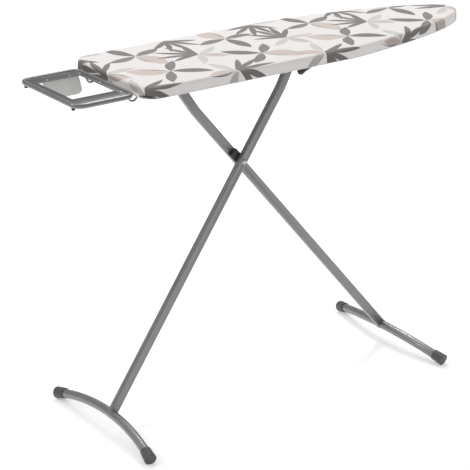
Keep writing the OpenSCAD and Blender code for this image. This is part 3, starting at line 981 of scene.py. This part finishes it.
class IRONING_OT_mesh(bpy.types.Operator):
    """Make the expanded steel mesh that carries the pad"""

    bl_idname = "ironing.mesh"
    bl_label = "Expanded mesh"

    def execute(self, context):
        long_way = settings().strand_length / 2
        short_way = long_way * 0.5
        reach = math.ceil(((MESH_HI.x - MESH_LO.x) / 2 / long_way + MESH_HI.y / short_way) / 2) + 1
        start()
        bpy.ops.mesh.primitive_grid_add(x_subdivisions=2 * reach, y_subdivisions=2 * reach, size=2 * reach)
        obj = bpy.context.object
        middle = (MESH_LO.x + MESH_HI.x) / 2
        level = (MESH_LO.z + MESH_HI.z) / 2
        inset = COVER_HI.x - MESH_HI.x + STRAND
        edit()
        bpy.ops.mesh.select_mode(type="FACE")
        bpy.ops.mesh.select_all(action="DESELECT")
        mesh = bmesh.from_edit_mesh(obj.data)
        for vert in mesh.verts:
            i, j = vert.co.x, vert.co.y
            vert.co = (middle + (i - j) * long_way, (i + j) * short_way, level)
        limits = edge_widths(inset)
        for face in mesh.faces:
            face.select_set(any(abs(v.co.y) > width_at(limits, v.co.x) for v in face.verts))
        bmesh.update_edit_mesh(obj.data)
        bpy.ops.mesh.delete(type="FACE")
        bpy.ops.mesh.select_mode(type="VERT")
        leave()
        apply(obj, "WIREFRAME", thickness=STRAND, use_even_offset=True, use_boundary=True, use_replace=True)
        for vert in obj.data.vertices:
            vert.co.z = level + (vert.co.z - level) * 1.1
        finished(obj, "expanded_mesh", "board", "frame_paint", "mesh_panel", angle=30)
        return {"FINISHED"}


def edge_widths(inset):
    """(x, half width) along the board, set in from the outline."""
    return sorted((p.x - n.x * inset, p.y - n.y * inset) for p, n, _ in half_outline())


def width_at(limits, x):
    """Half width of the board at x, or less than nothing past its ends."""
    if not limits[0][0] <= x <= limits[-1][0]:
        return -1.0
    for (x0, w0), (x1, w1) in zip(limits, limits[1:]):
        if x0 <= x <= x1:
            return w0 if x1 - x0 < 1e-9 else w0 + (w1 - w0) * (x - x0) / (x1 - x0)
    return -1.0


# ---- Metalwork ----

FLAT_PARTS = ("cross_rib_end", "cross_rib_pivot", "cross_rib_mid", "cross_rib_nose", "slide_rail_left",
              "slide_rail_right", "pivot_bracket_left", "pivot_bracket_right", "lever_bracket", "lever_catch",
              "lever_arm", "rest_tray", "rest_plate")
TURNED_PARTS = ("rear_pivot_rod", "pivot_rod_caps", "frame_rivets", "lever_rod", "rear_top_tube",
                "front_top_tube", "slide_axle", "slide_bush_left", "slide_bush_right", "axle_caps",
                "rest_rivets", "pivot_nut")
TUBES = ("rim_frame", "rear_leg_tube", "front_leg_tube", "rear_foot_bar", "front_foot_bar", "rest_frame")
MOULDINGS = ("pivot_spacer", "rest_buffers", "rear_foot_cap_left", "rear_foot_cap_right",
             "front_foot_cap_left", "front_foot_cap_right")


class IRONING_OT_metalwork(bpy.types.Operator):
    """Ease the edges of the pressed, drawn and turned parts, and coat or plate them"""

    bl_idname = "ironing.metalwork"
    bl_label = "Metalwork"

    def execute(self, context):
        for node in FLAT_PARTS:
            eased(node, 0.3 * MM)
        for node in TURNED_PARTS:
            eased(node, 0.4 * MM)
        for node in TUBES:
            eased(node, 0.3 * MM)
        for node in MOULDINGS:
            eased(node, 1.0 * MM, segments=3)
        return {"FINISHED"}


class IRONING_OT_wire_arms(bpy.types.Operator):
    """Smooth the two wire arms that carry the iron rest"""

    bl_idname = "ironing.wire_arms"
    bl_label = "Wire arms"

    def execute(self, context):
        for node in ("rest_arm_left", "rest_arm_right"):
            obj = merged_copy(node)
            apply(obj, "SUBSURF", levels=2, render_levels=2)
            finished(obj, node + "_made", "board", SLOTS[node], node, angle=60)
        return {"FINISHED"}


FRONT_SLOPE = 55.5
REAR_SLOPE = 50.0
FOOT_RADIUS = 12 * MM
LEG_WIDTH = 25 * MM
BEAD = 1.5 * MM


def leg_direction(slope, side):
    """Up a leg whose slope is in degrees, with side +1 if it rises towards +X."""
    return Vector((side * math.cos(math.radians(slope)), 0, math.sin(math.radians(slope))))


def seam(centre, up, radius, leg_y, leg_size):
    """Points of the seam where a leg's rounded section meets a cross bar of this radius."""
    across = Vector((0, 1, 0))
    fore = across.cross(up).normalized()
    wide, thick = leg_size
    points = []
    for i in range(40):
        a = math.tau * i / 40
        u = wide / 2 * math.copysign(abs(math.cos(a)) ** 0.5, math.cos(a))
        v = thick / 2 * math.copysign(abs(math.sin(a)) ** 0.5, math.sin(a))
        height = math.sqrt(max(0.0, radius**2 - u * u))
        points.append(centre + fore * u + across * (leg_y + v) + up * height)
    return points


class IRONING_OT_welds(bpy.types.Operator):
    """Lay a weld bead where each leg meets its foot bar"""

    bl_idname = "ironing.welds"
    bl_label = "Welds"

    def execute(self, context):
        for name, body, slope, side in (
            ("front", "front_leg", FRONT_SLOPE, 1), ("rear", "rear_leg", REAR_SLOPE, -1)
        ):
            bar_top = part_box(name + "_foot_bar")[1].z
            tube_lo, tube_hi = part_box(name + "_leg_tube")
            up = leg_direction(slope, side)
            reach = (CROSSING.z - (bar_top - FOOT_RADIUS)) / up.z
            centre = CROSSING - up * reach
            leg_y = (tube_lo.y + tube_hi.y) / 2
            size = (LEG_WIDTH, tube_hi.y - tube_lo.y)
            obj = swept(seam(centre, up, FOOT_RADIUS, leg_y, size), BEAD, sides=8, closed=True)
            for vert in obj.data.vertices:
                ripple = noise.noise(vert.co * 420) * 0.35 * MM
                vert.co += vert.normal * ripple
            finished(obj, name + "_weld_bead", body, "leg_paint", angle=60)
        return {"FINISHED"}


# The window's distance from the rest's outer end, its inner end and its sides
WINDOW_OUTER = 24 * MM
WINDOW_INNER = 27 * MM
WINDOW_SIDE = 56 * MM
WINDOW_CORNER = 3 * MM
LIP = 1.3 * MM


class IRONING_OT_rest_details(bpy.types.Operator):
    """Roll the lip round the iron rest's window"""

    bl_idname = "ironing.rest_details"
    bl_label = "Rest details"

    def execute(self, context):
        x0 = REST_LO.x + WINDOW_OUTER
        x1 = REST_HI.x - WINDOW_INNER
        y = REST_HI.y - WINDOW_SIDE
        points = rounded_loop(x0, x1, -y, y, WINDOW_CORNER, TRAY_TOP - LIP * 0.4)
        obj = swept(points, LIP, sides=8, closed=True)
        finished(obj, "tray_lip", "board", "rest_paint", angle=60)
        return {"FINISHED"}


def rounded_loop(x0, x1, y0, y1, radius, z):
    """Points round a rectangle with rounded corners."""
    points = []
    corners = ((x1 - radius, y1 - radius), (x0 + radius, y1 - radius), (x0 + radius, y0 + radius),
               (x1 - radius, y0 + radius))
    for quarter, (x, y) in enumerate(corners):
        for i in range(7):
            a = math.pi / 2 * (quarter + i / 6)
            points.append(Vector((x + radius * math.cos(a), y + radius * math.sin(a), z)))
    return points


HEAD_HEIGHT = 4 * MM
HEAD_RADIUS = 7 * MM
SHANK = 4 * MM
CHAMFER = 0.8 * MM


class IRONING_OT_crossing(bpy.types.Operator):
    """Turn the domed head of the bolt at the crossing"""

    bl_idname = "ironing.crossing"
    bl_label = "Crossing bolt"

    def execute(self, context):
        lo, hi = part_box("pivot_bolt")
        place = axis_frame(Vector((CROSSING.x, lo.y, CROSSING.z)), (0, 1, 0))
        long = hi.y - lo.y
        stations = [(0.0, 0.6 * MM)]
        for i in range(1, 8):
            a = math.pi / 2 * i / 7
            stations.append((HEAD_HEIGHT * 0.85 * (1 - math.cos(a)), HEAD_RADIUS * math.sin(a)))
        stations += [(HEAD_HEIGHT, HEAD_RADIUS), (HEAD_HEIGHT, SHANK)]
        stations += [(long - CHAMFER, SHANK), (long, SHANK - CHAMFER)]
        obj = lathed(stations, place)
        finished(obj, "pivot_bolt_made", "rear_leg", "plated_steel", "pivot_bolt")
        return {"FINISHED"}


# ---- Release lever ----

LEVER_DROOP = 24.0
GRIP_START = 23 * MM
GRIP_LENGTH = 44 * MM


class IRONING_OT_grip(bpy.types.Operator):
    """Mould the lever's grip, with a collar, a waist and a round tip"""

    bl_idname = "ironing.grip"
    bl_label = "Lever grip"

    def execute(self, context):
        lo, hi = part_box("lever_grip")
        radius = (hi.y - lo.y) / 2
        droop = math.radians(LEVER_DROOP)
        along = Vector((-math.cos(droop), 0, -math.sin(droop)))
        place = axis_frame(LEVER, along)
        begin, end = GRIP_START, GRIP_START + GRIP_LENGTH
        stations = [
            (begin, radius * 0.72), (begin, radius * 0.86), (begin + 1 * MM, radius * 0.97),
            (begin + 3 * MM, radius), (begin + 6 * MM, radius), (begin + 7 * MM, radius * 0.93),
        ]
        for i in range(1, 9):
            share = i / 8
            waist = 1 - 0.11 * math.sin(math.pi * share) ** 2
            stations.append((begin + 7 * MM + (GRIP_LENGTH - 7 * MM - radius) * share, radius * waist))
        for i in range(1, 9):
            a = math.pi / 2 * i / 8
            stations.append((end - radius + radius * math.sin(a), max(radius * math.cos(a), 0.05 * MM)))
        obj = lathed(stations, place)
        finished(obj, "lever_grip_made", "lever", "black_plastic", "lever_grip")
        return {"FINISHED"}


class IRONING_OT_spring(bpy.types.Operator):
    """Wind the lever's torsion spring round its rod"""

    bl_idname = "ironing.spring"
    bl_label = "Lever spring"

    def execute(self, context):
        lo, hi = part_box("lever_spring")
        turns = settings().spring_turns
        wire = 0.7 * MM
        radius = (hi.x - lo.x) / 2 - wire
        points = [Vector((LEVER.x - 14 * MM, lo.y + wire, LEVER.z + radius))]
        steps = 20
        for i in range(turns * steps + 1):
            a = math.tau * i / steps
            y = lo.y + wire + (hi.y - lo.y - 2 * wire) * i / (turns * steps)
            points.append(Vector((LEVER.x + radius * math.sin(a), y, LEVER.z + radius * math.cos(a))))
        points.append(Vector((LEVER.x - 13.5 * MM, hi.y - wire, LEVER.z + radius)))
        obj = swept(points, wire, sides=8)
        finished(obj, "lever_spring_coil", "board", "plated_steel", "lever_spring", angle=60)
        return {"FINISHED"}


# ---- Drawcord ----

CORD_FROM = 188
CORD_SWEEP = 48
TOGGLE_AT = 212
TOGGLE_HALF = 4 * MM


class IRONING_OT_drawcord(bpy.types.Operator):
    """Lay the drawcord round the near wide corner, with its barrel toggle"""

    bl_idname = "ironing.drawcord"
    bl_label = "Drawcord"

    def execute(self, context):
        s = settings()
        lo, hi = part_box("drawcord")
        radius = (hi.z - lo.z) / 2
        level = (hi.z + lo.z) / 2
        centre = Vector((COVER_LO.x + s.corner_radius, -COVER_HI.y + s.corner_radius, level))
        bend = s.corner_radius + radius
        points = []
        for i in range(25):
            a = math.radians(CORD_FROM + CORD_SWEEP * i / 24)
            lift = 0.4 * MM * math.sin(9 * a)
            points.append(centre + Vector((bend * math.cos(a), bend * math.sin(a), lift)))
        obj = swept(points, radius, sides=12)
        finished(obj, "drawcord_braid", "board", "cord", "drawcord", angle=60)
        a = math.radians(TOGGLE_AT)
        middle = centre + Vector((bend * math.cos(a), bend * math.sin(a), 0))
        along = Vector((-math.sin(a), math.cos(a), 0))
        barrel = 1.15 * 2 * radius
        near_end = [(1, 0.6), (1, 0.8), (0.8, 1), (0.3, 1.05), (0.25, 0.92)]
        profile = [(-share, wide) for share, wide in near_end] + near_end[::-1]
        stations = [(TOGGLE_HALF * share, barrel * wide) for share, wide in profile]
        toggle = lathed(stations, axis_frame(middle, along), sides=24)
        finished(toggle, "cord_toggle_made", "board", "black_plastic", "cord_toggle")
        return {"FINISHED"}


# ---- Stage ----

VIEW_PLACE = Vector((-2.5639, -3.4797, 2.1339))
VIEW_AZIMUTH = -35.57
VIEW_ELEVATION = 21.55
VIEW_ROLL = -0.14
VIEW_LENS = 134.83
VIEW_SHIFT = (-0.0124, -0.0061)


class IRONING_OT_stage(bpy.types.Operator):
    """Set up the floor, the soft studio light and the camera"""

    bl_idname = "ironing.stage"
    bl_label = "Stage"

    def execute(self, context):
        self.camera(context)
        self.floor()
        self.lights(context)
        context.scene.view_settings.view_transform = "Standard"
        return {"FINISHED"}

    def camera(self, context):
        data = bpy.data.cameras.new("camera")
        data.lens = VIEW_LENS
        data.sensor_width = 36
        data.shift_x, data.shift_y = VIEW_SHIFT
        obj = bpy.data.objects.new("camera", data)
        context.scene.collection.objects.link(obj)
        turn = (
            Matrix.Rotation(math.radians(VIEW_AZIMUTH), 4, "Z")
            @ Matrix.Rotation(math.radians(90 - VIEW_ELEVATION), 4, "X")
            @ Matrix.Rotation(math.radians(VIEW_ROLL), 4, "Z")
        )
        obj.matrix_world = Matrix.Translation(VIEW_PLACE) @ turn
        context.scene.camera = obj

    def floor(self):
        start()
        bpy.ops.mesh.primitive_plane_add(size=60)
        obj = bpy.context.object
        obj.name = "floor"
        g = Graph("pale floor")
        g.set(
            Base_Color=g.mix((0.93, 0.93, 0.93, 1), (0.95, 0.95, 0.95, 1), g.grain(3, 2)),
            Roughness=0.9,
            Specular_IOR_Level=0.1,
            Emission_Color=(1, 1, 1, 1),
            Emission_Strength=0.34,
        )
        obj.data.materials.append(g.material)

    def lights(self, context):
        world = bpy.data.worlds.new("studio")
        world.use_nodes = True
        sky = world.node_tree.nodes["Background"]
        sky.inputs["Color"].default_value = (1, 1, 1, 1)
        sky.inputs["Strength"].default_value = 0.36
        context.scene.world = world
        for name, place, size, power in (
            ("overhead", (0.4, 0.9, 5.0), 7.0, 122),
            ("key", (-3.5, 1.5, 3.2), 0.7, 34),
            ("rim", (2.4, 3.2, 4.8), 1.3, 70),
        ):
            data = bpy.data.lights.new(name, "AREA")
            data.shape = "DISK"
            data.size = size
            data.energy = power
            obj = bpy.data.objects.new(name, data)
            context.scene.collection.objects.link(obj)
            aim = Vector((0, 0, 0.6)) - Vector(place)
            obj.location = place
            obj.rotation_euler = aim.to_track_quat("-Z", "Y").to_euler()


# ---- Panel ----

STEPS = (
    IRONING_OT_stage, IRONING_OT_felt, IRONING_OT_cover, IRONING_OT_mesh, IRONING_OT_metalwork,
    IRONING_OT_wire_arms, IRONING_OT_welds, IRONING_OT_rest_details, IRONING_OT_crossing, IRONING_OT_grip,
    IRONING_OT_spring, IRONING_OT_drawcord,
)


class IRONING_PT_panel(bpy.types.Panel):
    """The board's steps in the 3D view's sidebar"""

    bl_label = "Ironing board"
    bl_idname = "IRONING_PT_panel"
    bl_space_type = "VIEW_3D"
    bl_region_type = "UI"
    bl_category = "Ironing board"

    def draw(self, context):
        for step in STEPS:
            self.layout.operator(step.bl_idname)
        for name in BoardSettings.__annotations__:
            self.layout.prop(context.scene.ironing_board, name)


CLASSES = (BoardSettings, *STEPS, IRONING_PT_panel)


def register():
    for cls in CLASSES:
        bpy.utils.register_class(cls)
    bpy.types.Scene.ironing_board = PointerProperty(type=BoardSettings)


def unregister():
    del bpy.types.Scene.ironing_board
    for cls in reversed(CLASSES):
        bpy.utils.unregister_class(cls)


def main():
    """Runs every step in order."""
    register()
    bpy.ops.ironing.stage()
    bpy.ops.ironing.felt()
    bpy.ops.ironing.cover()
    bpy.ops.ironing.mesh()
    bpy.ops.ironing.metalwork()
    bpy.ops.ironing.wire_arms()
    bpy.ops.ironing.welds()
    bpy.ops.ironing.rest_details()
    bpy.ops.ironing.crossing()
    bpy.ops.ironing.grip()
    bpy.ops.ironing.spring()
    bpy.ops.ironing.drawcord()


if __name__ == "__main__":
    main()
